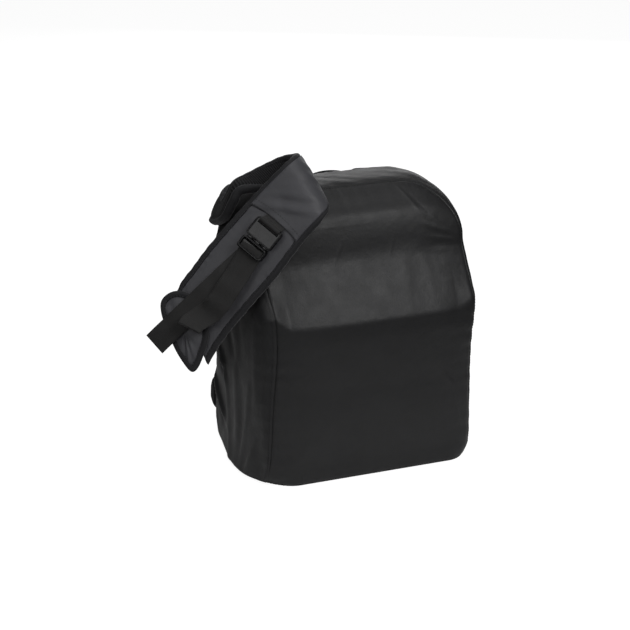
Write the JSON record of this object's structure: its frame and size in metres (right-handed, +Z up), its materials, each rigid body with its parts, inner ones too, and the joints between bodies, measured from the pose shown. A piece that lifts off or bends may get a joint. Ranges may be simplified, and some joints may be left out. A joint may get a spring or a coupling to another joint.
{
  "type": "sling camera bag with rain cover",
  "caption": "Small camera sling backpack in a fitted black rain cover, its padded shoulder strap with side-release buckle flopped over the front.",
  "frame": {"origin": "middle of the flat underside of the rain cover, midway between its sides", "axes": "+Z up, -Y towards the front panel, +Y towards the back padding, +X to the right of the front"},
  "size_m": [0.3551, 0.2065, 0.3399],
  "materials": {
    "cover_nylon": "satin coated nylon",
    "body_nylon": "matt woven nylon",
    "strap_nylon": "matt woven nylon",
    "air_mesh": "matt knitted spacer mesh",
    "webbing": "woven webbing",
    "binding": "woven binding tape",
    "foam": "soft foam",
    "buckle_plastic": "smooth moulded",
    "board_plastic": "smooth sheet",
    "zip_coil": "moulded coil",
    "zip_metal": "dark painted",
    "divider_cloth": "brushed loop cloth"
  },
  "bodies": {
    "bag": {"cover_front_panel": "cover_nylon", "cover_gusset": "cover_nylon", "cover_hem": "cover_nylon", "body_shell": "body_nylon", "base_board": "board_plastic", "front_board": "board_plastic", "front_pocket": "body_nylon", "pocket_zip_tape": "binding", "pocket_zip_chain": "zip_coil", "lumbar_pad": "air_mesh", "lid_zip_chain": "zip_coil", "yoke_panel": "body_nylon", "handle_anchor_left": "webbing", "handle_anchor_right": "webbing", "lower_loop": "webbing", "strap_root_tongue": "webbing"},
    "lid": {"lid_panel": "body_nylon", "lid_board": "board_plastic", "back_pad_left": "air_mesh", "back_pad_right": "air_mesh"},
    "handle": {"grab_handle": "webbing"},
    "strap": {"strap_foam": "foam", "strap_outer": "strap_nylon", "strap_overlay": "strap_nylon", "strap_lining": "air_mesh", "strap_binding_upper": "binding", "strap_binding_lower": "binding", "end_tab": "strap_nylon", "end_tab_binding": "binding", "buckle_socket": "buckle_plastic", "socket_loop": "webbing"},
    "buckle_male": {"buckle_plug": "buckle_plastic", "webbing_lower": "webbing", "webbing_tail": "webbing"},
    "left_prong": {"prong_left": "buckle_plastic"},
    "right_prong": {"prong_right": "buckle_plastic"},
    "pocket_slider": {"pocket_zip_slider": "zip_metal"},
    "pocket_pull": {"pocket_zip_pull": "zip_metal"},
    "lid_slider": {"lid_zip_slider": "zip_metal"},
    "lid_pull": {"lid_zip_pull": "zip_metal"},
    "lower_divider": {"divider_lower": "divider_cloth"},
    "upper_divider": {"divider_upper": "divider_cloth"},
    "middle_divider": {"divider_middle": "divider_cloth"},
    "lock": {"ladder_lock": "buckle_plastic"}
  },
  "joints": [
    {"name": "lid_hinge", "type": "hinge", "parent": "bag", "child": "lid", "pos_m": [0, 0.0785, 0.0775], "axis": [-1, 0, 0], "range_deg": [0, 85]},
    {"name": "handle_swing", "type": "hinge", "parent": "bag", "child": "handle", "pos_m": [0.024, 0.0895, 0.264], "axis": [1, 0, 0], "range_deg": [0, 50]},
    {"name": "strap_swing", "type": "hinge", "parent": "bag", "child": "strap", "pos_m": [-0.084, 0.1, 0.2495], "axis": [-0.5108, 0, -0.8597], "range_deg": [0, 110]},
    {"name": "buckle_release", "type": "slide", "parent": "strap", "child": "buckle_male", "axis": [-0.6501, 0.065, -0.7571], "range_m": [0, 0.022]},
    {"name": "left_prong_squeeze", "type": "hinge", "parent": "buckle_male", "child": "left_prong", "pos_m": [-0.12403, -0.04907, 0.26558], "axis": [0.5242, 0.7597, -0.3849], "range_deg": [0, 6], "stiffness_Nm_per_rad": 0.05},
    {"name": "right_prong_squeeze", "type": "hinge", "parent": "buckle_male", "child": "right_prong", "pos_m": [-0.1138, -0.0611, 0.25576], "axis": [-0.5242, -0.7597, 0.3849], "range_deg": [0, 6], "stiffness_Nm_per_rad": 0.05},
    {"name": "pocket_zip_slide", "type": "slide", "parent": "bag", "child": "pocket_slider", "axis": [1, 0, 0], "range_m": [0, 0.15]},
    {"name": "pocket_pull_swing", "type": "hinge", "parent": "pocket_slider", "child": "pocket_pull", "pos_m": [-0.0815, -0.045, 0.1696], "axis": [0, -1, 0], "range_deg": [0, 80]},
    {"name": "lid_zip_slide", "type": "slide", "parent": "bag", "child": "lid_slider", "axis": [0, 0, 1], "range_m": [0, 0.085]},
    {"name": "lid_pull_swing", "type": "hinge", "parent": "lid_slider", "child": "lid_pull", "pos_m": [-0.0985, 0.0805, 0.1015], "axis": [1, 0, 0], "range_deg": [0, 80]},
    {"name": "lower_divider_slide", "type": "slide", "parent": "bag", "child": "lower_divider", "axis": [0, 0, 1], "range_m": [-0.015, 0.015]},
    {"name": "upper_divider_slide", "type": "slide", "parent": "bag", "child": "upper_divider", "axis": [0, 0, 1], "range_m": [-0.015, 0.015]},
    {"name": "middle_divider_slide", "type": "slide", "parent": "bag", "child": "middle_divider", "axis": [1, 0, 0], "range_m": [-0.03, 0.03]},
    {"name": "ladder_lock_swing", "type": "hinge", "parent": "bag", "child": "lock", "pos_m": [-0.0875, 0.1098, 0.048], "axis": [1, 0, 0], "range_deg": [0, 100]}
  ]
}
